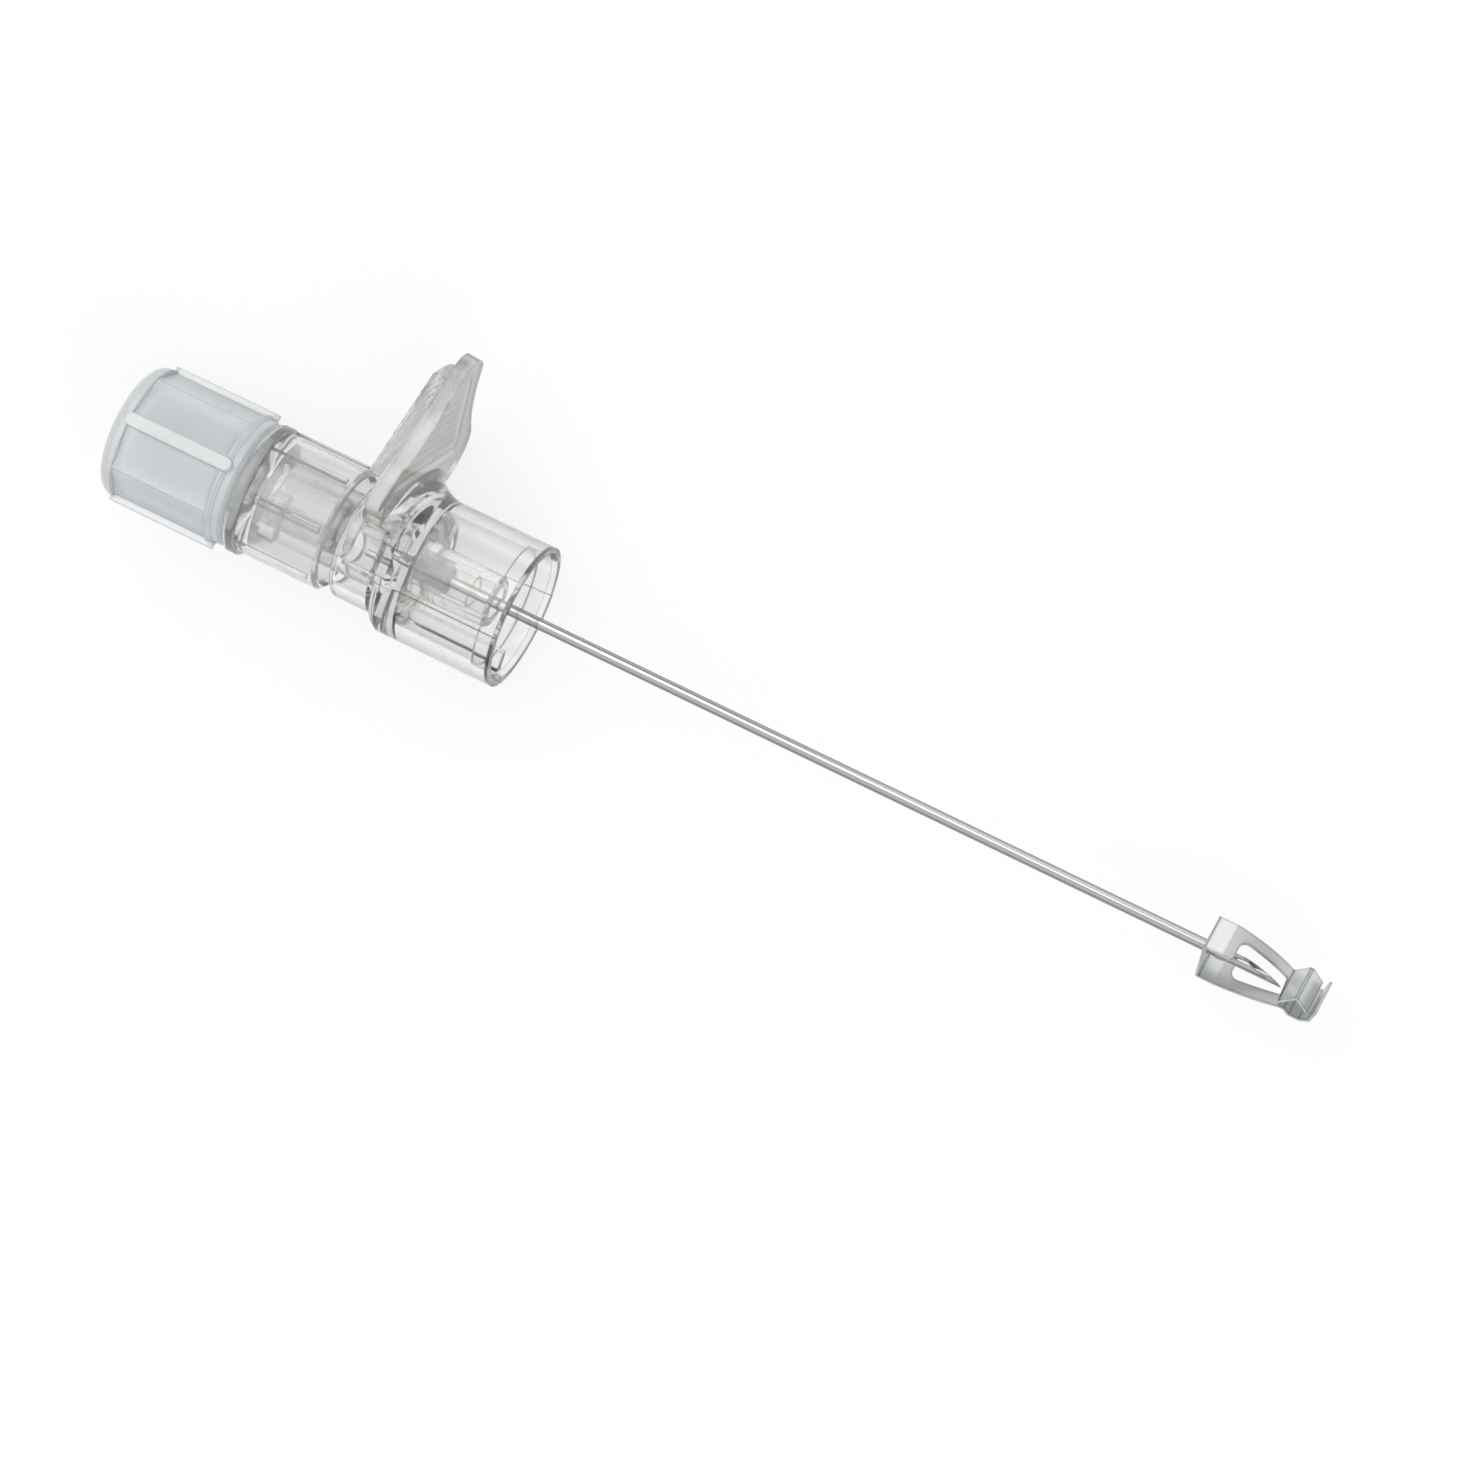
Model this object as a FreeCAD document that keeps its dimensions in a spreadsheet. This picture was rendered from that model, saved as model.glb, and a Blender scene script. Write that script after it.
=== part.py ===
import FreeCAD, Part
import math
import os
import Sketcher

# The needle assembly of a safety cannula, in millimetres. Every piece is drawn in one frame:
# the needle lies along +X, the mouth of the hub's shroud is at X = 0, and the thumb plate
# stands up along +Z. At the end the whole assembly is rolled about the needle until it rests
# on the shroud and on the edge of the thumb plate, the way it lies on a table.

doc = FreeCAD.newDocument("iv_cannula")
sizes = doc.addObject("Spreadsheet::Sheet", "sizes")

drivingSizes = {
    # steel needle
    "needleRadius": 0.425,
    "needleBore": 0.30,
    "needleReach": 59.7,
    "needleRear": 12.3,
    "bevelAngle": 15.0,
    "bulgeRadius": 0.50,
    "bulgeLength": 1.1,
    "bulgeGap": 0.15,
    "bulgeRoot": 0.03,
    "bulgeSink": 0.01,
    "bevelClear": 0.1,
    "pressFit": 0.01,
    # edges and clearances that the clear mouldings share
    "fineEdge": 0.2,
    "softEdge": 0.3,
    "reliefEdge": 0.4,
    "deepEdge": 0.5,
    "trimClear": 0.05,
    "keyDraft": 0.12,
    "glueDish": 0.35,
    # hub: shroud and the taper nose inside it
    "shroudRadius": 5.4,
    "shroudWall": 0.9,
    "shroudDepth": 8.0,
    "skirtStep": 0.12,
    "skirtLength": 10.0,
    "skirtShoulder": 0.7,
    "mouthStep": 0.25,
    "mouthStepDepth": 1.5,
    "mouthLip": 0.4,
    "keyHeight": 1.3,
    "keyWidth": 0.8,
    "noseTipRadius": 1.98,
    "noseTipDepth": 2.2,
    "luerTaper": 0.03,
    "noseBore": 1.25,
    "noseBoreDepth": 4.0,
    "noseStepBore": 1.05,
    "noseStepDepth": 5.9,
    "glueCupRadius": 0.9,
    "glueCupDepth": 8.6,
    # hub: barrel, chamber and rear socket
    "barrelRadius": 4.6,
    "barrelRear": 13.7,
    "barrelRound": 0.7,
    "chamberFront": 9.4,
    "chamberRadius": 1.95,
    "chamberWall": 0.8,
    "recessDepth": 3.4,
    "socketRear": 19.6,
    "socketMouthRadius": 2.15,
    "lugRadius": 3.9,
    "lugWidth": 3.4,
    "lugThick": 1.2,
    # hub: thumb plate
    "plateThick": 1.6,
    "plateDraft": 1.7,
    "plateLean": 5.5,
    "plateFoot": 10.9,
    "plateHalfWidth": 7.1,
    "plateWidest": 6.6,
    "plateRound": 3.2,
    "plateFootHalf": 5.3,
    "plateNeckHeight": 15.3,
    "plateNeckHalf": 1.75,
    "plateShoulder": 9.0,
    "plateHollow": 16.0,
    "plateTipRound": 2.0,
    "plateBlend": 3.5,
    "flareDip": 0.04,
    "padThick": 1.2,
    "padLow": 7.3,
    "padHigh": 14.6,
    "padLowHalf": 5.7,
    "padHighHalf": 1.3,
    "padEdge": 0.3,
    "gripPitch": 0.85,
    "gripWidth": 0.3,
    "gripDepth": 0.22,
    "gripMargin": 0.7,
    # flash plug
    "collarRadius": 4.7,
    "collarWall": 0.6,
    "collarMouth": 14.5,
    "collarBevel": 0.3,
    "flangeRadius": 5.0,
    "flangeThick": 1.0,
    "flangeRear": 22.1,
    "plugFloor": 0.9,
    "plugNoseLength": 4.9,
    "plugNoseBore": 1.1,
    "luerFit": 0.02,
    "collarRibs": 7,
    "collarRibHeight": 0.2,
    "collarRibWidth": 0.7,
    "collarRibTurn": 15.0,
    "bossRadius": 3.7,
    "bossLength": 7.4,
    "bossChamber": 2.5,
    "filterRadius": 2.9,
    "filterThick": 0.5,
    "filterInset": 0.4,
    "filterFit": 0.02,
    # rear cap
    "capRadius": 5.1,
    "capRear": 32.4,
    "capRound": 1.0,
    "capEndWall": 1.3,
    "capFlat": 4.72,
    "capPanelRear": 31.2,
    "capPanelFront": 23.5,
    "capRimRadius": 4.85,
    "capRimLength": 0.9,
    "capRimBevel": 0.35,
    "capRibRadius": 5.4,
    "capRibWidth": 1.0,
    "capRibRear": 31.6,
    "capRibFront": 22.7,
    "capRibTurn": 30.6,
    "capFit": 0.1,
    "capGap": 0.03,
    # safety clip folded from one strip
    "clipSheet": 0.2,
    "clipReach": 5.6,
    "clipHalfHeight": 2.1,
    "clipHalfWidth": 1.35,
    "clipHoleFit": 0.05,
    "clipSideLength": 2.0,
    "clipFlat": 1.2,
    "clipArmCurve": 10.0,
    "clipCorner": 0.3,
    "clipNotch": 0.55,
    "nearArmWidth": 0.85,
    "farArmWidth": 0.95,
    "foldGap": 0.4,
    "foldFlat": 0.15,
    "armGap": 0.5,
    "foldLow": 0.4,
    "ridgeReach": 1.05,
    "ridgeHeight": 1.1,
    "ridgeDrop": 1.2,
    "ridgeFall": 0.85,
    "troughDepth": 1.4,
    "troughLength": 0.55,
    "lipReach": 0.9,
    "lipTop": 0.6,
    "clipTurn": 38.0,
}

for row, (alias, number) in enumerate(drivingSizes.items(), start=1):
    sizes.set("A%d" % row, alias)
    sizes.set("B%d" % row, str(number))
    sizes.setAlias("B%d" % row, alias)
doc.recompute()


def named(expression):
    """Put the sheet's name before each alias, so that a size can be written as plain words."""
    words = []
    word = ""
    for letter in expression + " ":
        if letter.isalnum() or letter == "_":
            word += letter
            continue
        words.append("sizes." + word if word in drivingSizes else word)
        words.append(letter)
        word = ""
    return "".join(words).strip()


def value(expression):
    """The number that an expression of the sheet's names has now."""
    return float(FreeCAD.Units.Quantity(sizes.evalExpression(named(expression))).Value)


def bind(thing, prop, expression):
    """Tie one property of an object to an expression of the sheet's names."""
    thing.setExpression(prop, named(expression))


def originPlane(body, role):
    """The body's own origin plane of that role."""
    return [part for part in body.Origin.OriginFeatures if part.Role == role][0]


def newSketch(body, name, role, offset=None, lean=None, turn=None):
    """A sketch on an origin plane of the body, moved along its normal or turned if asked."""
    sketch = body.newObject("Sketcher::SketchObject", name)
    sketch.AttachmentSupport = (originPlane(body, role), [""])
    sketch.MapMode = "FlatFace"
    if lean:
        axis = FreeCAD.Rotation(FreeCAD.Vector(1, 0, 0), 10)
        sketch.AttachmentOffset = FreeCAD.Placement(FreeCAD.Vector(0, 0, 0), axis)
        bind(sketch, ".AttachmentOffset.Rotation.Angle", lean)
    if turn:
        axis = FreeCAD.Rotation(FreeCAD.Vector(0, 0, 1), 10)
        sketch.AttachmentOffset = FreeCAD.Placement(FreeCAD.Vector(0, 0, 0), axis)
        bind(sketch, ".AttachmentOffset.Rotation.Angle", turn)
    if offset:
        bind(sketch, ".AttachmentOffset.Base.z", offset)
    return sketch


def pinPoint(sketch, geometry, end, point):
    """Hold one end of a sketch line at a point given by two expressions."""
    for kind, expression in zip(("DistanceX", "DistanceY"), point):
        row = sketch.addConstraint(
            Sketcher.Constraint(kind, -1, 1, geometry, end, value(expression)))
        bind(sketch, "Constraints[%d]" % row, expression)


def drawPath(sketch, corners, closed=True):
    """Draw lines and arcs through the corners. A corner is (across, up), or
    (across, up, radius, side) where the stretch that arrives there is an arc, whose side is
    1 if it curves to the left of its travel and -1 if it curves to the right."""
    first = sketch.GeometryCount
    count = len(corners)
    stretches = count if closed else count - 1
    for index in range(stretches):
        start = corners[index]
        stop = corners[(index + 1) % count]
        a = FreeCAD.Vector(value(start[0]), value(start[1]), 0)
        b = FreeCAD.Vector(value(stop[0]), value(stop[1]), 0)
        if len(stop) == 2:
            sketch.addGeometry(Part.LineSegment(a, b), False)
            continue
        radius = value(stop[2])
        chord = b - a
        half = chord.Length / 2
        inward = FreeCAD.Vector(-chord.y, chord.x, 0).normalize() * stop[3]
        centre = (a + b) / 2 + inward * math.sqrt(max(radius ** 2 - half ** 2, 0))
        middle = centre - inward * radius
        sketch.addGeometry(Part.Arc(a, middle, b), False)
    for index in range(stretches):
        stop = corners[(index + 1) % count]
        geometry = first + index
        isArc = len(stop) > 2
        # an arc is stored against the clock, so one that curves right starts at its far end
        startEnd = 2 if isArc and stop[3] < 0 else 1
        pinPoint(sketch, geometry, startEnd, corners[index])
        pinPoint(sketch, geometry, 3 - startEnd, stop)
        if isArc:
            row = sketch.addConstraint(Sketcher.Constraint("Radius", geometry, value(stop[2])))
            bind(sketch, "Constraints[%d]" % row, stop[2])


def drawCircle(sketch, centre, radius):
    """A circle whose centre and radius follow the sheet."""
    middle = FreeCAD.Vector(value(centre[0]), value(centre[1]), 0)
    circle = Part.Circle(middle, FreeCAD.Vector(0, 0, 1), value(radius))
    geometry = sketch.addGeometry(circle, False)
    pinPoint(sketch, geometry, 3, centre)
    row = sketch.addConstraint(Sketcher.Constraint("Radius", geometry, value(radius)))
    bind(sketch, "Constraints[%d]" % row, radius)


def newBody(label):
    body = doc.addObject("PartDesign::Body", label)
    body.Label = label
    return body


def turned(body, kind, name, corners):
    """A revolution or groove about the needle's axis, from a half section of X and radius."""
    sketch = newSketch(body, name + "_section", "XZ_Plane")
    drawPath(sketch, corners)
    feature = body.newObject("PartDesign::" + kind, name)
    feature.Profile = sketch
    feature.ReferenceAxis = (sketch, ["H_Axis"])
    sketch.Visibility = False
    return feature


def pulled(body, kind, name, sketch, length, backward=False, both=False):
    """A pad or pocket of a sketch."""
    feature = body.newObject("PartDesign::" + kind, name)
    feature.Profile = sketch
    bind(feature, "Length", length)
    feature.Reversed = backward
    feature.Midplane = both
    return feature


def repeated(body, feature, name, count):
    """A polar pattern of a feature about the needle's axis."""
    pattern = body.newObject("PartDesign::PolarPattern", name)
    pattern.Originals = [feature]
    pattern.Axis = ([part for part in body.Origin.OriginFeatures if part.Role == "X_Axis"][0], [""])
    pattern.Angle = 360
    bind(pattern, "Occurrences", count)
    body.Tip = pattern
    return pattern


def roundEdges(body, kind, name, size, chosen):
    """A fillet or chamfer on those edges of the body's tip that a test picks."""
    doc.recompute()
    tip = body.Tip
    edges = ["Edge%d" % (index + 1) for index, edge in enumerate(tip.Shape.Edges) if chosen(edge)]
    feature = body.newObject("PartDesign::" + kind, name)
    feature.Base = (tip, edges)
    bind(feature, "Radius" if kind == "Fillet" else "Size", size)
    doc.recompute()
    return feature


# The rear wall of the safety clip stands this far along the needle.
clipBase = "(needleReach - clipReach)"


# Steel needle: a thin tube with a slanted point, and the slight swelling that stops the
# safety clip from sliding off.
def makeNeedle():
    body = newBody("needle")
    tube = newSketch(body, "tube_ring", "YZ_Plane", offset="-needleRear")
    drawCircle(tube, ("0", "0"), "needleRadius")
    drawCircle(tube, ("0", "0"), "needleBore")
    pulled(body, "Pad", "tube", tube, "needleRear + needleReach")
    bulgeAt = "(" + clipBase + " + clipSheet)"
    turned(body, "Revolution", "bulge", [
        (bulgeAt + " + bulgeGap", "needleBore + bulgeRoot"),
        (bulgeAt + " + bulgeGap + bulgeLength", "needleBore + bulgeRoot"),
        (bulgeAt + " + bulgeGap + bulgeLength", "needleRadius - bulgeSink"),
        (bulgeAt + " + bulgeGap + bulgeLength * 2 / 3", "bulgeRadius"),
        (bulgeAt + " + bulgeGap + bulgeLength / 3", "bulgeRadius"),
        (bulgeAt + " + bulgeGap", "needleRadius - bulgeSink"),
    ])
    # the bevel faces the thumb plate's side
    point = newSketch(body, "bevel_side", "XZ_Plane")
    run = "(2 * needleRadius + 2 * bevelClear) / tan(bevelAngle)"
    drawPath(point, [
        ("needleReach + bevelClear / tan(bevelAngle)", "-needleRadius - bevelClear"),
        ("needleReach + 1", "-needleRadius - bevelClear"),
        ("needleReach + 1", "needleRadius + bevelClear"),
        ("needleReach + bevelClear / tan(bevelAngle) - " + run, "needleRadius + bevelClear"),
    ])
    pulled(body, "Pocket", "bevel", point, "4 * needleRadius", both=True)
    return body


# Adhesive that holds the needle in the nose of the hub.
def makeGlue():
    body = newBody("glue_bead")
    turned(body, "Revolution", "bead", [
        ("-glueCupDepth", "needleRadius"),
        ("-noseStepDepth - glueDish", "needleRadius"),
        ("-noseStepDepth", "glueCupRadius"),
        ("-glueCupDepth", "glueCupRadius"),
    ])
    return body


def plateOutline():
    """The thumb plate seen along the needle: wide low shoulders that run into a narrow round
    tip. Its foot stands on the upper edge of the shroud's lower half."""
    reach = "sqrt(plateRound^2 - (plateShoulder - plateWidest)^2)"
    shoulder = "plateHalfWidth - plateRound + " + reach
    drop = "sqrt(plateRound^2 - (plateFootHalf - plateHalfWidth + plateRound)^2)"
    footTop = "plateWidest - " + drop
    edge = "(shroudRadius + skirtStep + trimClear)"
    return [
        (edge, "0"),
        ("plateFootHalf", footTop),
        (shoulder, "plateShoulder", "plateRound", 1),
        ("plateNeckHalf", "plateNeckHeight", "plateHollow", -1),
        ("-plateNeckHalf", "plateNeckHeight", "plateTipRound", 1),
        ("-(" + shoulder + ")", "plateShoulder", "plateHollow", -1),
        ("-plateFootHalf", footTop, "plateRound", 1),
        ("-" + edge, "0"),
    ]


# Needle hub: one clear moulding with shroud, taper nose, barrel, rear socket and thumb plate.
def makeHub():
    body = newBody("needle_hub")

    # thumb plate, with a hollow flare where it runs into the shroud
    blank = newSketch(body, "plate_side", "XZ_Plane")
    foot = "-plateFoot - plateThick"
    rearLean = "tan(plateLean + plateDraft)"
    drawPath(blank, [
        (foot + " - shroudRadius / 2 * " + rearLean, "-shroudRadius / 2"),
        ("-plateFoot - shroudRadius / 2 * tan(plateLean)", "-shroudRadius / 2"),
        ("-plateFoot + 4 * shroudRadius * tan(plateLean)", "4 * shroudRadius"),
        (foot + " + 4 * shroudRadius * " + rearLean, "4 * shroudRadius"),
    ])
    pulled(body, "Pad", "plate", blank, "6 * shroudRadius", both=True)
    low = "shroudRadius - flareDip"
    flareRear = "(plateFoot - flareDip)"
    turned(body, "Revolution", "flare", [
        ("-" + flareRear + " - plateThick / 2", "0"),
        ("-" + flareRear + " + plateBlend", "0"),
        ("-" + flareRear + " + plateBlend", low),
        ("-" + flareRear, low + " + plateBlend", "plateBlend", -1),
        ("-" + flareRear + " - plateThick / 2", low + " + plateBlend"),
    ])
    trim = newSketch(body, "plate_trim", "YZ_Plane", offset="-plateFoot", lean="plateLean")
    drawPath(trim, [
        ("-4 * shroudRadius", "-4 * shroudRadius"), ("4 * shroudRadius", "-4 * shroudRadius"),
        ("4 * shroudRadius", "5 * shroudRadius"), ("-4 * shroudRadius", "5 * shroudRadius"),
    ])
    drawPath(trim, plateOutline())
    pulled(body, "Pocket", "plate_edge", trim, "6 * shroudRadius", both=True)

    # outside of barrel, shroud and rear socket
    turned(body, "Revolution", "core", [
        ("-socketRear", "0"),
        ("0", "0"),
        ("0", "shroudRadius"),
        ("-skirtLength + skirtShoulder", "shroudRadius"),
        ("-skirtLength", "shroudRadius - skirtShoulder", "skirtShoulder", 1),
        ("-skirtLength", "barrelRadius"),
        ("-barrelRear + barrelRound", "barrelRadius"),
        ("-barrelRear", "barrelRadius - barrelRound", "barrelRound", 1),
        ("-barrelRear", "socketMouthRadius + chamberWall"),
        ("-socketRear", "socketMouthRadius + chamberWall"),
    ])
    # the lower half of the shroud stands a little proud and carries the parting edge
    skirt = newSketch(body, "skirt_section", "YZ_Plane",
                      offset="-skirtLength + skirtShoulder")
    outer = "(shroudRadius + skirtStep)"
    inner = "(shroudRadius - shroudWall / 2)"
    drawPath(skirt, [
        ("-" + outer, "0"),
        ("0", "-" + outer, outer, 1),
        (outer, "0", outer, 1),
        (inner, "0"),
        ("0", "-" + inner, inner, -1),
        ("-" + inner, "0", inner, -1),
    ])
    pulled(body, "Pad", "skirt", skirt, "skirtLength - skirtShoulder")
    # two lugs across the rear socket
    lugs = newSketch(body, "lug_outline", "YZ_Plane", offset="-socketRear")
    reach = "sqrt(lugRadius^2 - (lugWidth / 2)^2)"
    drawPath(lugs, [
        ("-" + reach, "-lugWidth / 2", "lugRadius", 1),
        (reach, "-lugWidth / 2"),
        (reach, "lugWidth / 2", "lugRadius", 1),
        ("-" + reach, "lugWidth / 2"),
    ])
    pulled(body, "Pad", "lugs", lugs, "lugThick")
    # thumb rest on the rear face, with a ladder of grip grooves inside its edge
    rest = newSketch(body, "rest_outline", "YZ_Plane", offset="-plateFoot - plateThick / 2",
                     lean="plateLean + plateDraft")
    drawPath(rest, [
        ("-padLowHalf", "padLow"), ("padLowHalf", "padLow"),
        ("padHighHalf", "padHigh"), ("-padHighHalf", "padHigh"),
    ])
    pulled(body, "Pad", "thumb_rest", rest, "plateThick / 2 + padThick", backward=True)
    roundEdges(body, "Chamfer", "thumb_rest_edge", "padEdge", isRestEdge)
    grip = newSketch(body, "grip_bars", "YZ_Plane", offset="-plateFoot - plateThick - padThick",
                     lean="plateLean + plateDraft")
    count = int(value("(padHigh - padLow) / gripPitch")) - 1
    narrowing = "(padLowHalf - padHighHalf) / (padHigh - padLow)"
    for index in range(count):
        along = "(padLow + %d * gripPitch)" % (index + 1)
        half = "(padLowHalf - (%s + gripWidth - padLow) * %s - gripMargin)" % (along, narrowing)
        drawPath(grip, [
            ("-" + half, along), (half, along),
            (half, along + " + gripWidth"), ("-" + half, along + " + gripWidth"),
        ])
    pulled(body, "Pocket", "grips", grip, "2 * gripDepth", both=True)

    # hollow of the shroud round the taper nose, with the step and lip of its mouth
    inner = "shroudRadius - shroudWall"
    turned(body, "Groove", "shroud_hollow", [
        ("-shroudDepth", inner + " - softEdge"),
        ("-shroudDepth + softEdge", inner),
        ("-mouthStepDepth", inner),
        ("-mouthStepDepth", inner + " + mouthStep"),
        ("-mouthLip", inner + " + mouthStep"),
        ("0", inner + " + mouthStep + fineEdge"),
        ("1", inner + " + mouthStep + fineEdge"),
        ("1", "0"),
        ("-noseTipDepth", "0"),
        ("-noseTipDepth", "noseTipRadius - fineEdge"),
        ("-noseTipDepth - fineEdge", "noseTipRadius + fineEdge * luerTaper"),
        ("-shroudDepth", "noseTipRadius + (shroudDepth - noseTipDepth) * luerTaper"),
    ])
    # key rail along the floor of the shroud
    key = newSketch(body, "key_section", "YZ_Plane", offset="-shroudDepth - fineEdge")
    drawPath(key, [
        ("-keyWidth / 2", "-(" + inner + ") - softEdge"), ("keyWidth / 2", "-(" + inner + ") - softEdge"),
        ("keyWidth / 2 - keyDraft", "-(" + inner + ") + keyHeight"),
        ("-keyWidth / 2 + keyDraft", "-(" + inner + ") + keyHeight"),
    ])
    pulled(body, "Pad", "key_rail", key, "shroudDepth - softEdge")

    # stepped bore of the nose, the glue cup and the hole that guides the needle
    turned(body, "Groove", "nose_bore", [
        ("1", "0"),
        ("1", "noseBore"),
        ("-noseBoreDepth", "noseBore"),
        ("-noseBoreDepth", "noseStepBore"),
        ("-noseStepDepth", "noseStepBore"),
        ("-noseStepDepth", "glueCupRadius"),
        ("-glueCupDepth", "glueCupRadius"),
        ("-glueCupDepth", "needleRadius + pressFit"),
        ("-chamberFront - 1", "needleRadius + pressFit"),
        ("-chamberFront - 1", "0"),
    ])
    # flashback chamber, open at the rear in a female taper
    turned(body, "Groove", "chamber", [
        ("-chamberFront", "0"),
        ("-chamberFront", "chamberRadius - reliefEdge"),
        ("-chamberFront - reliefEdge", "chamberRadius"),
        ("-socketRear + plugNoseLength + reliefEdge", "chamberRadius"),
        ("-socketRear + plugNoseLength + reliefEdge",
         "socketMouthRadius - (plugNoseLength + reliefEdge) * luerTaper"),
        ("-socketRear", "socketMouthRadius"),
        ("-socketRear - 1", "socketMouthRadius"),
        ("-socketRear - 1", "0"),
    ])
    # ring recess that keeps the barrel's wall even
    turned(body, "Groove", "barrel_recess", [
        ("-barrelRear - 1", "socketMouthRadius + chamberWall"),
        ("-barrelRear - 1", "barrelRadius - chamberWall"),
        ("-barrelRear + recessDepth - softEdge", "barrelRadius - chamberWall"),
        ("-barrelRear + recessDepth", "barrelRadius - chamberWall - softEdge"),
        ("-barrelRear + recessDepth", "socketMouthRadius + chamberWall"),
    ])
    return body


def isRestEdge(edge):
    """The rear edges of the thumb rest, which lie in its own rear face."""
    lean = math.radians(value("plateLean + plateDraft"))
    normal = FreeCAD.Vector(-math.cos(lean), 0, math.sin(lean))
    face = FreeCAD.Vector(-value("plateFoot + plateThick / 2"), 0, 0)
    face += normal * value("plateThick / 2 + padThick")
    return all(abs((vertex.Point - face).dot(normal)) < 1e-4 for vertex in edge.Vertexes)


# Flash plug: clear ribbed collar over the hub's lugs, flange, taper nose in the hub's socket
# and a rear chamber whose end is closed by the filter disc.
def makePlug():
    body = newBody("flash_plug")
    front = "(flangeRear - flangeThick)"
    rear = "(flangeRear + bossLength)"
    turned(body, "Revolution", "shell", [
        ("-" + rear, "0"),
        ("-collarMouth", "0"),
        ("-collarMouth", "collarRadius - collarBevel"),
        ("-collarMouth - collarBevel", "collarRadius"),
        ("-" + front, "collarRadius"),
        ("-" + front, "flangeRadius - flangeThick / 4"),
        ("-" + front + " - flangeThick / 4", "flangeRadius", "flangeThick / 4", 1),
        ("-flangeRear + flangeThick / 4", "flangeRadius"),
        ("-flangeRear", "flangeRadius - flangeThick / 4", "flangeThick / 4", 1),
        ("-flangeRear", "bossRadius"),
        ("-" + rear + " + softEdge", "bossRadius"),
        ("-" + rear, "bossRadius - softEdge"),
    ])
    rib = newSketch(body, "rib_section", "YZ_Plane", offset="-" + front, turn="-collarRibTurn")
    drawPath(rib, [
        ("-collarRadius + fineEdge", "-collarRibWidth / 2"),
        ("-collarRadius + fineEdge", "collarRibWidth / 2"),
        ("-collarRadius - collarRibHeight", "collarRibWidth / 4"),
        ("-collarRadius - collarRibHeight", "-collarRibWidth / 4"),
    ])
    length = front + " - collarMouth - collarBevel * 2"
    repeated(body, pulled(body, "Pad", "rib", rib, length), "ribs", "collarRibs")

    # ring space round the nose, which takes the hub's socket and lugs
    noseTip = "(socketRear - plugNoseLength)"
    floor = "(" + front + " - plugFloor)"
    fit = "socketMouthRadius - luerFit"
    inner = "collarRadius - collarWall"
    turned(body, "Groove", "collar_hollow", [
        ("-" + floor, fit + " + (" + floor + " - socketRear) * luerTaper"),
        ("-" + floor, inner),
        ("-collarMouth - reliefEdge", inner),
        ("-collarMouth", inner + " + fineEdge"),
        ("-collarMouth + 1", inner + " + fineEdge"),
        ("-collarMouth + 1", "0"),
        ("-" + noseTip, "0"),
        ("-" + noseTip, fit + " - plugNoseLength * luerTaper"),
    ])
    turned(body, "Groove", "bore", [
        ("-collarMouth + 1", "0"),
        ("-collarMouth + 1", "plugNoseBore"),
        ("-" + front, "plugNoseBore"),
        ("-" + front + " - (bossChamber - plugNoseBore) / 2", "bossChamber"),
        ("-" + rear + " + filterInset + filterThick", "bossChamber"),
        ("-" + rear + " + filterInset + filterThick", "filterRadius + filterFit"),
        ("-" + rear + " - 1", "filterRadius + filterFit"),
        ("-" + rear + " - 1", "0"),
    ])
    return body


# Filter disc: the vent membrane in the rear end of the flash plug.
def makeFilter():
    body = newBody("filter_disc")
    seat = "(flangeRear + bossLength - filterInset - filterThick)"
    ring = newSketch(body, "disc_outline", "YZ_Plane", offset="-" + seat)
    drawCircle(ring, ("0", "0"), "filterRadius")
    pulled(body, "Pad", "disc", ring, "filterThick", backward=True)
    roundEdges(body, "Chamfer", "disc_edge", "filterThick / 8", isOuterCircle)
    return body


def isOuterCircle(edge):
    """A full circle round the needle's axis."""
    return len(edge.Vertexes) < 2


# Rear cap: milky push-on cap with eight flats and four raised ribs.
def makeCap():
    body = newBody("rear_cap")
    front = "(flangeRear + capGap)"
    turned(body, "Revolution", "shell", [
        ("-capRear", "0"),
        ("-" + front, "0"),
        ("-" + front, "capRimRadius - capRimBevel"),
        ("-" + front + " - capRimBevel", "capRimRadius"),
        ("-" + front + " - capRimLength", "capRimRadius"),
        ("-" + front + " - capRimLength - (capRadius - capRimRadius)", "capRadius"),
        ("-capRear + capRound", "capRadius"),
        ("-capRear", "capRadius - capRound", "capRound", 1),
    ])
    flats = newSketch(body, "flat_outline", "YZ_Plane", offset="-capPanelRear",
                      turn="-capRibTurn")
    drawCircle(flats, ("0", "0"), "capRadius + 1")
    corner = "capFlat / cos(22.5)"
    drawPath(flats, [(corner + " * cos(%d)" % turn, corner + " * sin(%d)" % turn)
                     for turn in range(0, 360, 45)])
    pulled(body, "Pocket", "flats", flats, "capPanelRear - capPanelFront", backward=True)
    rib = newSketch(body, "rib_outline", "XY_Plane", lean="90 - capRibTurn")
    half = "capRibWidth / 2"
    drawPath(rib, [
        ("-capRibRear + " + half, "-" + half, "capRibWidth * 0.52", 1),
        ("-capRibFront - " + half, "-" + half),
        ("-capRibFront - " + half, half, "capRibWidth * 0.52", 1),
        ("-capRibRear + " + half, half),
    ])
    repeated(body, pulled(body, "Pad", "rib", rib, "capRibRadius"), "ribs", "4")
    hollow = "bossRadius + capFit"
    turned(body, "Groove", "hollow", [
        ("-capRear + capEndWall", "0"),
        ("-capRear + capEndWall", hollow + " - deepEdge"),
        ("-capRear + capEndWall + deepEdge", hollow),
        ("-" + front + " - softEdge", hollow),
        ("-" + front, hollow + " + fineEdge"),
        ("-" + front + " + 1", hollow + " + fineEdge"),
        ("-" + front + " + 1", "0"),
    ])
    return body


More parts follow.
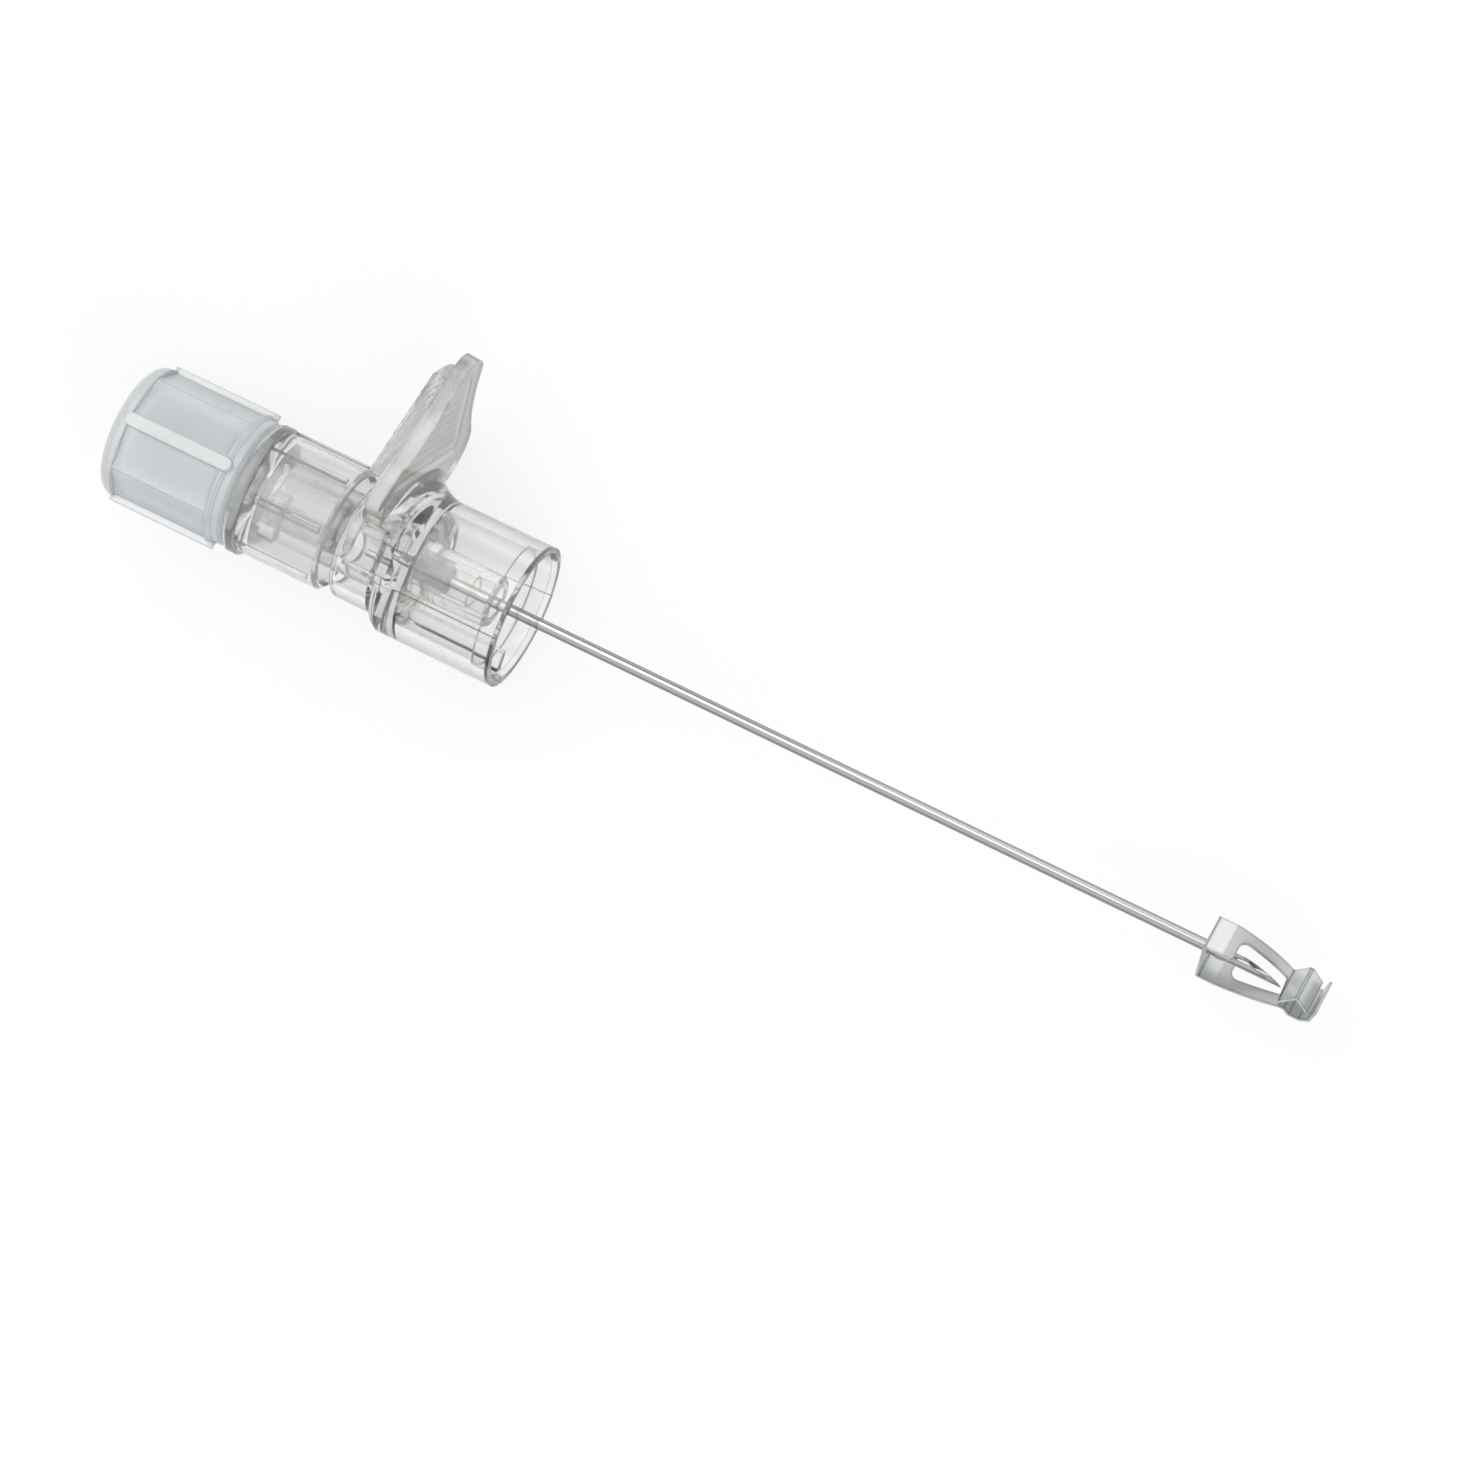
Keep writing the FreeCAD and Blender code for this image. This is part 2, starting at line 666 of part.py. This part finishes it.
def flatSketch(name, corners, closed, turnPlane):
    """A sketch of the folded strip: its bent side view, or its outline seen from above."""
    sketch = doc.addObject("Sketcher::SketchObject", name)
    if turnPlane:
        upright = FreeCAD.Rotation(FreeCAD.Vector(1, 0, 0), 90)
        sketch.Placement = FreeCAD.Placement(FreeCAD.Vector(0, 0, 0), upright)
    drawPath(sketch, corners, closed)
    return sketch


def foldedArm(name, path, plan):
    """One arm of the clip: the bent strip at full width, cut to its outline from above."""
    side = flatSketch(name + "_fold", path, False, True)
    skin = doc.addObject("Part::Offset2D", name + "_skin")
    skin.Source = side
    skin.Mode = "Skin"
    skin.Join = "Arc"
    skin.Fill = True
    bind(skin, "Value", "clipSheet")
    strip = doc.addObject("Part::Extrusion", name + "_strip")
    strip.Base = skin
    strip.DirMode = "Custom"
    strip.Dir = FreeCAD.Vector(0, 1, 0)
    strip.Symmetric = True
    strip.Solid = True
    bind(strip, "LengthFwd", "2 * clipHalfWidth")
    outline = doc.addObject("Part::Extrusion", name + "_plan")
    outline.Base = flatSketch(name + "_outline", plan, True, False)
    outline.DirMode = "Custom"
    outline.Dir = FreeCAD.Vector(0, 0, 1)
    outline.Symmetric = True
    outline.Solid = True
    bind(outline, "LengthFwd", "6 * clipHalfHeight")
    arm = doc.addObject("Part::Common", name)
    arm.Base = strip
    arm.Tool = outline
    return arm


# Safety clip: one strip of spring steel, folded into a base wall with a hole for the needle
# and two arms that cross beside the needle and close in front of its point.
def makeClip():
    flat = "(" + clipBase + " + clipFlat)"
    side = "(" + clipBase + " + clipSideLength)"
    fold = "(needleReach + foldGap)"
    ridge = "(" + fold + " + ridgeReach)"
    trough = "(" + ridge + " + troughLength)"
    nearEdge = "(clipHalfWidth - nearArmWidth)"
    farEdge = "(farArmWidth - clipHalfWidth)"
    # the near arm dips in front of the point and ends in a ridge
    nearArm = foldedArm("near_arm", [
        (clipBase, "-clipSheet / 2"),
        (clipBase, "clipHalfHeight"),
        (flat, "clipHalfHeight"),
        (fold + " - foldFlat", "-foldLow", "clipArmCurve", -1),
        (fold, "-foldLow"),
        (ridge, "ridgeHeight"),
        (ridge + " + ridgeFall", "ridgeHeight - ridgeDrop"),
    ], [
        (clipBase + " - 1", "-clipHalfWidth"),
        (side + " - clipCorner", "-clipHalfWidth"),
        (side, "-clipHalfWidth + clipCorner", "clipCorner", 1),
        (side, nearEdge + " - clipNotch"),
        (side + " + clipNotch", nearEdge, "clipNotch", -1),
        (fold + " - clipCorner", nearEdge),
        (fold + " - foldFlat", "-clipHalfWidth"),
        (trough + " + 2", "-clipHalfWidth"),
        (trough + " + 2", "clipHalfWidth"),
        (clipBase + " - 1", "clipHalfWidth"),
    ])
    # the far arm passes under it as a trough, whose lip stands up in front of the ridge
    farArm = foldedArm("far_arm", [
        (trough + " + lipReach", "lipTop"),
        (trough + " + lipReach * 2 / 3", "-troughDepth + lipReach / 2"),
        (trough, "-troughDepth"),
        (ridge + " - clipSheet", "-troughDepth"),
        (ridge + " - 3 * clipSheet", "-foldLow - armGap"),
        (fold, "-foldLow - armGap"),
        (flat, "-clipHalfHeight", "1.6 * clipArmCurve", -1),
        (clipBase, "-clipHalfHeight"),
        (clipBase, "clipSheet / 2"),
    ], [
        (clipBase + " - 1", "clipHalfWidth"),
        (clipBase + " - 1", "-clipHalfWidth"),
        (trough + " + 2", "-clipHalfWidth"),
        (trough + " + 2", "clipHalfWidth"),
        (fold + " + foldFlat", "clipHalfWidth"),
        (fold, farEdge),
        (side + " + clipNotch", farEdge),
        (side, farEdge + " + clipNotch", "clipNotch", -1),
        (side, "clipHalfWidth - clipCorner"),
        (side + " - clipCorner", "clipHalfWidth", "clipCorner", 1),
    ])
    strip = doc.addObject("Part::MultiFuse", "folded_strip")
    strip.Shapes = [nearArm, farArm]
    hole = doc.addObject("Part::Cylinder", "needle_hole")
    bind(hole, "Radius", "needleRadius + clipHoleFit")
    bind(hole, "Height", "4 * clipSheet")
    hole.Placement = FreeCAD.Placement(FreeCAD.Vector(0, 0, 0),
                                       FreeCAD.Rotation(FreeCAD.Vector(0, 1, 0), 90))
    bind(hole, ".Placement.Base.x", clipBase + " - clipSheet * 2")
    clip = doc.addObject("Part::Cut", "safety_clip")
    clip.Label = "safety_clip"
    clip.Base = strip
    clip.Tool = hole
    return clip


pieces = [makeNeedle(), makeGlue(), makeHub(), makePlug(), makeFilter(), makeCap(), makeClip()]

# The roll at which the shroud's lower half and the round edge of the thumb plate touch one
# level surface, counted from the plate standing up.
centreHalf = "(plateHalfWidth - plateRound)"
centreReach = "sqrt(" + centreHalf + "^2 + plateWidest^2)"
touch = "acos((shroudRadius + skirtStep - plateRound) / " + centreReach + ")"
restRoll = touch + " - atan2(plateWidest; " + centreHalf + ") - 90 deg"
for piece in pieces:
    piece.Placement = FreeCAD.Placement(FreeCAD.Vector(0, 0, 0),
                                        FreeCAD.Rotation(FreeCAD.Vector(1, 0, 0), -10))
    ownTurn = " + clipTurn * 1 deg" if piece.Label == "safety_clip" else ""
    bind(piece, ".Placement.Rotation.Angle", restRoll + ownTurn)
doc.recompute()

for thing in doc.Objects:
    if "Invalid" in thing.State or "Error" in thing.State:
        raise RuntimeError("%s failed: %s" % (thing.Name, thing.State))
for piece in pieces:
    if piece.Shape.isNull() or not piece.Shape.isValid():
        raise RuntimeError("%s has no valid shape" % piece.Label)

os.makedirs("parts", exist_ok=True)
for piece in pieces:
    box = piece.Shape.BoundBox
    print("%-12s solids %d volume %.2f X %.2f to %.2f Y %.2f to %.2f Z %.2f to %.2f" % (
        piece.Label, len(piece.Shape.Solids), piece.Shape.Volume,
        box.XMin, box.XMax, box.YMin, box.YMax, box.ZMin, box.ZMax))
    piece.Shape.exportStep("parts/%s.step" % piece.Label)
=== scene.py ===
import bmesh
import bpy
import math
from mathutils import Matrix, Vector


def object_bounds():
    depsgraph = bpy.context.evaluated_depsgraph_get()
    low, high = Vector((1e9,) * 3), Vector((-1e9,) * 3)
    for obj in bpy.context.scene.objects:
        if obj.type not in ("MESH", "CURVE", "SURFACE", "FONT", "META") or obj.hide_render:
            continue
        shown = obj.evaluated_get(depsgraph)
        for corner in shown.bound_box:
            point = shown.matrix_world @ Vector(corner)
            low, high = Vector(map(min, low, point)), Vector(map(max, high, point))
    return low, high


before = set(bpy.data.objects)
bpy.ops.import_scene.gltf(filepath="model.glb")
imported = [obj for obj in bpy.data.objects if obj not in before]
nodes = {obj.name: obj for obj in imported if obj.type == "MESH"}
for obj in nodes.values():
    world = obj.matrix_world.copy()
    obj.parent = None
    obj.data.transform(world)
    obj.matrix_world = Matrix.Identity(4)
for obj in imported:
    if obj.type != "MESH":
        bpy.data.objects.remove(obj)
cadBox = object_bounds()
print("frame loaded:", ", ".join(sorted(nodes)))

# The camera stands where the photo was taken.
# Its directions belong to the hub standing upright, and its lengths are in metres.
cameraLook = {
    "partRoll": -77.01,       # degrees that the part is rolled about its needle when it lies down
    "towardsTip": 10.6,       # degrees that the tip leans towards the lens
    "abovePlateSide": 25.0,   # degrees from the side of the hub up towards the thumb plate
    "slope": 25.77,           # degrees that the needle falls to the right in the picture
    "aimAlong": 0.01747,      # where the middle of the picture meets the needle
    "aimBelow": 0.00107,      # how far under the needle that middle lies
    "distance": 0.353,
    "lens": 122.4,            # millimetres, as is the sensor's width
    "sensorWidth": 36.0,
    "seesFrom": 0.01,
    "seesTo": 20.0,
}


def addCamera(look):
    lean = math.radians(look["towardsTip"])
    rise = math.radians(look["abovePlateSide"])
    slope = math.radians(look["slope"])
    roll = Matrix.Rotation(math.radians(look["partRoll"]), 3, "X")
    towards = roll @ Vector((math.sin(lean), -math.cos(lean) * math.cos(rise),
                             math.cos(lean) * math.sin(rise)))
    along = (Vector((1, 0, 0)) - towards * towards.x).normalized()
    across = towards.cross(along)
    right = along * math.cos(slope) + across * math.sin(slope)
    up = across * math.cos(slope) - along * math.sin(slope)
    aim = Vector((look["aimAlong"], 0, 0)) - across * look["aimBelow"]
    lens = bpy.data.cameras.new("photoCamera")
    lens.lens = look["lens"]
    lens.sensor_width = look["sensorWidth"]
    lens.clip_start = look["seesFrom"]
    lens.clip_end = look["seesTo"]
    camera = bpy.data.objects.new("photoCamera", lens)
    turn = Matrix((right, up, towards)).transposed().to_4x4()
    camera.matrix_world = Matrix.Translation(aim + towards * look["distance"]) @ turn
    bpy.context.scene.collection.objects.link(camera)
    bpy.context.scene.camera = camera


addCamera(cameraLook)
bpy.context.scene.view_settings.view_transform = "Standard"
print("camera ready")

# How many walls a ray may meet: in all, clear ones, and fully transparent ones.
rayLimits = {"all": 14, "clear": 14, "transparent": 8}
rays = bpy.context.scene.cycles
rays.max_bounces = rayLimits["all"]
rays.transmission_bounces = rayLimits["clear"]
rays.transparent_max_bounces = rayLimits["transparent"]


# A setting goes to the node itself where it has one of that name, and else to its socket.
def addNode(tree, kind, **settings):
    made = tree.nodes.new(kind)
    for key, setting in settings.items():
        if hasattr(made, key):
            setattr(made, key, setting)
        else:
            made.inputs[key].default_value = setting
    return made


# Turns a value that runs between two bounds into one that runs from low to high.
def addRange(tree, start, end, low=0.0, high=1.0, ease="LINEAR"):
    made = addNode(tree, "ShaderNodeMapRange", interpolation_type=ease)
    bounds = {"From Min": start, "From Max": end, "To Min": low, "To Max": high}
    for socket, bound in bounds.items():
        made.inputs[socket].default_value = bound
    return made


def wire(tree, start, output, end, socket):
    tree.links.new(start.outputs[output], end.inputs[socket])


# 1 for a ray of one of these kinds, such as one that comes straight from the lens.
def seenRay(tree, *kinds):
    path = addNode(tree, "ShaderNodeLightPath")
    found = path.outputs[kinds[0]]
    for kind in kinds[1:]:
        wider = addNode(tree, "ShaderNodeMath", operation="MAXIMUM")
        tree.links.new(found, wider.inputs[0])
        wire(tree, path, kind, wider, 1)
        found = wider.outputs["Value"]
    return found


def freshMaterial(name):
    material = bpy.data.materials.new(name)
    material.use_nodes = True
    tree = material.node_tree
    return material, tree, tree.nodes["Principled BSDF"]


# The lens sees plain white. The part mirrors and refracts a room that is pale overhead.
skyLook = {
    "top": 0.92,              # brightness overhead
    "topFrom": 0.5,           # and the height, from 0 to 1, where it is reached
    "side": 0.12,             # brightness near the horizon, which draws the edges of clear parts
    "sideUpTo": 0.12,         # and the height up to which it stays so
}


def paintWorld(look):
    world = bpy.data.worlds.new("paleRoom")
    bpy.context.scene.world = world
    world.use_nodes = True
    tree = world.node_tree
    tree.nodes.clear()
    output = addNode(tree, "ShaderNodeOutputWorld")
    white = addNode(tree, "ShaderNodeBackground", Color=(1, 1, 1, 1), Strength=1.0)
    lit = addNode(tree, "ShaderNodeBackground", Strength=1.0)
    mixer = addNode(tree, "ShaderNodeMixShader")
    place = addNode(tree, "ShaderNodeTexCoord")
    split = addNode(tree, "ShaderNodeSeparateXYZ")
    height = addRange(tree, look["sideUpTo"], look["topFrom"], look["side"], look["top"])
    wire(tree, place, "Generated", split, "Vector")
    wire(tree, split, "Z", height, "Value")
    wire(tree, height, "Result", lit, "Color")
    tree.links.new(seenRay(tree, "Is Camera Ray"), mixer.inputs["Fac"])
    wire(tree, lit, "Background", mixer, 1)
    wire(tree, white, "Background", mixer, 2)
    wire(tree, mixer, "Shader", output, "Surface")


paintWorld(skyLook)

# Where each lamp stands from the middle of the part, its width, its power and its warmth.
lampLook = {
    "key": {
        "place": (-0.25, 0.30, 0.55),
        "size": 0.50,
        "power": 1.25,
        "colour": (1.0, 0.99, 0.97),
    },
    "fill": {
        "place": (0.40, -0.20, 0.45),
        "size": 0.50,
        "power": 1.1,
        "colour": (0.97, 0.98, 1.0),
    },
    "rim": {                  # low, beyond the top of the picture; the clip's base mirrors it
        "place": (0.05, 0.60, 0.18),
        "size": 0.30,
        "power": 0.3,
        "colour": (1.0, 1.0, 1.0),
    },
}


def addLamp(name, look, middle):
    lamp = bpy.data.lights.new(name, "AREA")
    lamp.size = look["size"]
    lamp.energy = look["power"]
    lamp.color = look["colour"]
    made = bpy.data.objects.new(name, lamp)
    made.location = middle + Vector(look["place"])
    made.rotation_euler = Vector(look["place"]).to_track_quat("Z", "Y").to_euler()
    bpy.context.scene.collection.objects.link(made)


partMiddle = (cadBox[0] + cadBox[1]) / 2
for lampName, look in lampLook.items():
    addLamp(lampName + "Lamp", look, partMiddle)

floorLook = {
    "colour": (0.86, 0.86, 0.86, 1),
    "roughness": 0.9,
    "gloss": 0.1,
    "glow": 0.80,             # how much of the floor shows as plain white, the rest has the shadow
    "size": 3.0,
}


def addFloor(look, level):
    mesh = bpy.data.meshes.new("floor")
    sheet = bmesh.new()
    bmesh.ops.create_grid(sheet, x_segments=1, y_segments=1, size=look["size"] / 2)
    sheet.to_mesh(mesh)
    sheet.free()
    made = bpy.data.objects.new("floor", mesh)
    made.location.z = level
    bpy.context.scene.collection.objects.link(made)
    material, tree, shader = freshMaterial("floorWhite")
    shader.inputs["Base Color"].default_value = look["colour"]
    shader.inputs["Roughness"].default_value = look["roughness"]
    shader.inputs["Specular IOR Level"].default_value = look["gloss"]
    glow = addNode(tree, "ShaderNodeEmission", Color=(1, 1, 1, 1), Strength=1.0)
    share = addNode(tree, "ShaderNodeMath", operation="MULTIPLY")
    share.inputs[1].default_value = look["glow"]
    mixer = addNode(tree, "ShaderNodeMixShader")
    seen = seenRay(tree, "Is Camera Ray", "Is Glossy Ray", "Is Transmission Ray")
    tree.links.new(seen, share.inputs[0])
    wire(tree, share, "Value", mixer, "Fac")
    wire(tree, shader, "BSDF", mixer, 1)
    wire(tree, glow, "Emission", mixer, 2)
    wire(tree, mixer, "Shader", tree.nodes["Material Output"], "Surface")
    mesh.materials.append(material)


addFloor(floorLook, cadBox[0].z)
print("light and floor ready")

# What the materials of all the pieces share.
sharedLook = {
    "rippleHeight": 0.0001,   # metres that a ripple of full strength stands up
    "rippleDetail": 2.0,
    "grainDetail": 3.0,
    "slantBlend": 0.5,
    "edgeSamples": 2,
    "edgeDrawn": 0.92,        # how far a rounded surface agrees with the real one where the painted edge shade is full
}


def addRipple(tree, shader, pattern, strength):
    bump = addNode(tree, "ShaderNodeBump", Strength=strength, Distance=sharedLook["rippleHeight"])
    wire(tree, pattern, 0, bump, "Height")
    wire(tree, bump, "Normal", shader, "Normal")


# Lays one more colour over what the shader's base colour already is.
def layColour(tree, shader, amount, colour):
    factor, under, over, result = 0, 6, 7, 2    # the sockets of a Mix node that mixes colours
    base = shader.inputs["Base Color"]
    tone = addNode(tree, "ShaderNodeMix", data_type="RGBA")
    if base.is_linked:
        tree.links.new(base.links[0].from_socket, tone.inputs[under])
    else:
        tone.inputs[under].default_value = base.default_value
    tone.inputs[over].default_value = colour
    tree.links.new(amount, tone.inputs[factor])
    tree.links.new(tone.outputs[result], base)


# 0 where a surface is looked at squarely and 1 where it is seen along itself.
def slantShare(tree, look):
    slant = addNode(tree, "ShaderNodeLayerWeight", Blend=sharedLook["slantBlend"])
    share = addRange(tree, look["edgeFrom"], look["edgeTo"], ease="SMOOTHSTEP")
    wire(tree, slant, "Facing", share, "Value")
    return share.outputs["Result"]


# 0 on open surfaces and 1 within the given reach of a sharp edge.
def nearEdge(tree, reach):
    smooth = addNode(tree, "ShaderNodeBevel", samples=sharedLook["edgeSamples"], Radius=reach)
    face = addNode(tree, "ShaderNodeNewGeometry")
    agree = addNode(tree, "ShaderNodeVectorMath", operation="DOT_PRODUCT")
    wire(tree, smooth, "Normal", agree, 0)
    wire(tree, face, "Normal", agree, 1)
    mark = addRange(tree, 1.0, sharedLook["edgeDrawn"], ease="SMOOTHSTEP")
    wire(tree, agree, "Value", mark, "Value")
    return mark.outputs["Result"]


# Painted light: paler where the wall stands further from the needle, on the raised ribs, so the
# recessed panels keep a painted shade.
def paintRibLight(tree, shader, place, look):
    flat = addNode(tree, "ShaderNodeVectorMath", operation="MULTIPLY")
    flat.inputs[1].default_value = (0, 1, 1)
    radius = addNode(tree, "ShaderNodeVectorMath", operation="LENGTH")
    share = addRange(tree, look["panelRadius"], look["ribRadius"])
    wire(tree, place, "Object", flat, "Vector")
    wire(tree, flat, "Vector", radius, "Vector")
    wire(tree, radius, "Value", share, "Value")
    layColour(tree, shader, share.outputs["Result"], look["paintedRibLight"])


# A duller, hazier skin high above the needle, measured along the hub's own upright.
def satinSkin(tree, shader, place, look):
    roll = math.radians(-cameraLook["partRoll"])
    height = addNode(tree, "ShaderNodeVectorMath", operation="DOT_PRODUCT")
    height.inputs[1].default_value = (0, math.sin(roll), math.cos(roll))
    wire(tree, place, "Object", height, "Vector")
    for socket, low, high in (("Roughness", "roughness", "satin"),
                              ("Transmission Weight", "clearness", "satinClearness")):
        skin = addRange(tree, look["satinFrom"], look["satinTo"], look[low], look[high])
        wire(tree, height, "Value", skin, "Value")
        wire(tree, skin, "Result", shader, socket)


# Plastic that lets part of the light through, with a slightly wavy skin.
# A depth tint colours the light that goes a long way inside it.
def plastic(name, look):
    material, tree, shader = freshMaterial(name)
    shader.inputs["Base Color"].default_value = look["colour"]
    shader.inputs["Roughness"].default_value = look["roughness"]
    shader.inputs["IOR"].default_value = look["ior"]
    shader.inputs["Transmission Weight"].default_value = look["clearness"]
    place = addNode(tree, "ShaderNodeTexCoord")
    wave = addNode(tree, "ShaderNodeTexNoise", Scale=look["rippleScale"],
                   Detail=sharedLook["rippleDetail"])
    wire(tree, place, "Object", wave, "Vector")
    addRipple(tree, shader, wave, look["ripple"])
    # Painted shade where the wall is seen along itself, for the dark look of a clear wall's edges.
    if "edge" in look:
        layColour(tree, shader, slantShare(tree, look), look["edge"])
    # Painted light on the raised ribs, leaving painted shade on the panels.
    if "paintedRibLight" in look:
        paintRibLight(tree, shader, place, look)
    # Painted shade along the sharp edges.
    if "outline" in look:
        layColour(tree, shader, nearEdge(tree, look["outlineReach"]), look["outline"])
    if "satin" in look:
        satinSkin(tree, shader, place, look)
    if "depthTint" in look:
        depth = addNode(tree, "ShaderNodeVolumeAbsorption", Color=look["depthTint"],
                        Density=look["depthDensity"])
        wire(tree, depth, "Volume", tree.nodes["Material Output"], "Volume")
    return material


# Bare steel whose colour and shine vary in fine marks along the needle.
def steel(name, look):
    material, tree, shader = freshMaterial(name)
    shader.inputs["Base Color"].default_value = look["dark"]
    shader.inputs["Metallic"].default_value = 1.0
    place = addNode(tree, "ShaderNodeTexCoord")
    stretch = addNode(tree, "ShaderNodeVectorMath", operation="MULTIPLY")
    stretch.inputs[1].default_value = look["grain"]
    marks = addNode(tree, "ShaderNodeTexNoise", Scale=1.0, Detail=sharedLook["grainDetail"])
    wire(tree, place, "Object", stretch, "Vector")
    wire(tree, stretch, "Vector", marks, "Vector")
    layColour(tree, shader, marks.outputs[0], look["pale"])
    # Painted reflection: darker where the surface is seen along itself, for the dark of the room
    # mirrored in the sides.
    if "edge" in look:
        layColour(tree, shader, slantShare(tree, look), look["edge"])
    # Painted shade along the sharp edges.
    if "outline" in look:
        layColour(tree, shader, nearEdge(tree, look["outlineReach"]), look["outline"])
    shine = addRange(tree, 0.0, 1.0, *look["roughness"])
    wire(tree, marks, 0, shine, "Value")
    wire(tree, shine, "Result", shader, "Roughness")
    addRipple(tree, shader, marks, look["ripple"])
    return material


def dress(node, material):
    mesh = nodes[node].data
    mesh.materials.clear()
    mesh.materials.append(material)


# Clear moulding of the hub. Its thumb plate has a satin skin, the rest is polished.
hubLook = {
    "colour": (0.99, 0.995, 0.99, 1),
    "edge": (0.36, 0.38, 0.34, 1),        # painted shade on a wall seen along its surface
    "edgeFrom": 0.42,
    "edgeTo": 0.86,
    "outline": (0.34, 0.35, 0.30, 1),     # painted shade along the moulded edges, which bend the light away
    "outlineReach": 0.0002,
    "roughness": 0.04,
    "satin": 0.16,
    "satinClearness": 0.8,
    "satinFrom": 0.0040,                  # height above the needle where the plate begins
    "satinTo": 0.0072,
    "ior": 1.5,
    "clearness": 0.95,                    # the rest is the faint haze of a moulded wall
    "depthTint": (0.66, 0.69, 0.65, 1),   # what a long way through the plastic turns the light to
    "depthDensity": 80.0,                 # how soon, per metre
    "ripple": 0.1,
    "rippleScale": 220.0,
}
dress("needle_hub", plastic("clearMoulding", hubLook))

# Flash plug: the same plastic, a little hazier.
plugLook = {
    "colour": (0.985, 0.99, 0.985, 1),
    # painted shade where the wall is seen along itself
    "edge": (0.66, 0.68, 0.65, 1),
    "edgeFrom": 0.4,
    "edgeTo": 0.95,
    # painted shade along the sharp edges
    "outline": (0.38, 0.39, 0.35, 1),
    "outlineReach": 0.00017,
    "roughness": 0.08,
    "ior": 1.46,
    "clearness": 0.84,
    "ripple": 0.12,
    "rippleScale": 300.0,
}
dress("flash_plug", plastic("plugMoulding", plugLook))

# Milky rear cap: its raised ribs are painted paler than the recessed panels between them, as
# painted light on the ribs and painted shade on the panels.
capLook = {
    "colour": (0.81, 0.85, 0.87, 1),
    # painted light on the raised ribs
    "paintedRibLight": (0.95, 0.965, 0.97, 1),
    "panelRadius": 0.00478,               # distance from the needle where the panels end
    "ribRadius": 0.0052,                  # and where the painted light on the ribs is full
    # painted shade along the sharp edges
    "outline": (0.42, 0.45, 0.46, 1),
    "outlineReach": 0.00016,
    "roughness": 0.28,
    "clearness": 0.5,
    "ior": 1.45,
    "ripple": 0.15,
    "rippleScale": 900.0,
}
dress("rear_cap", plastic("milkyMoulding", capLook))

# Cured adhesive round the needle.
glueLook = {
    "colour": (0.50, 0.53, 0.53, 1),
    "roughness": 0.25,
    "clearness": 0.55,
    "ior": 1.45,
    "ripple": 0.4,
    "rippleScale": 1800.0,
}
dress("glue_bead", plastic("adhesive", glueLook))

# Vent membrane: a dull white sheet with a fibrous skin.
membraneLook = {
    "colour": (0.93, 0.93, 0.91, 1),
    "roughness": 0.85,
    "clearness": 0.0,
    "ior": 1.4,
    "ripple": 0.7,
    "rippleScale": 6000.0,
}
dress("filter_disc", plastic("membrane", membraneLook))

# Ground steel tube with marks along its length.
needleLook = {
    "pale": (0.60, 0.61, 0.60, 1),
    "dark": (0.36, 0.37, 0.36, 1),
    "edge": (0.06, 0.06, 0.06, 1),        # painted reflection: the sides painted dark, as if they mirrored the dark of the room
    "edgeFrom": 0.3,
    "edgeTo": 0.75,
    "roughness": (0.08, 0.16),
    "grain": (6.0, 5000.0, 5000.0),       # marks per metre along the needle and across it
    "ripple": 0.05,
}
dress("needle", steel("needleSteel", needleLook))

# Rolled spring steel with sheared edges.
springLook = {
    "pale": (0.76, 0.78, 0.76, 1),
    "dark": (0.68, 0.70, 0.68, 1),
    # painted shade along the sheared edges, for the dark they mirror
    "outline": (0.10, 0.11, 0.10, 1),
    "outlineReach": 0.00026,
    "roughness": (0.36, 0.46),
    "grain": (300.0, 1800.0, 1800.0),
    "ripple": 0.08,
}
dress("safety_clip", steel("springSteel", springLook))
print("materials ready")
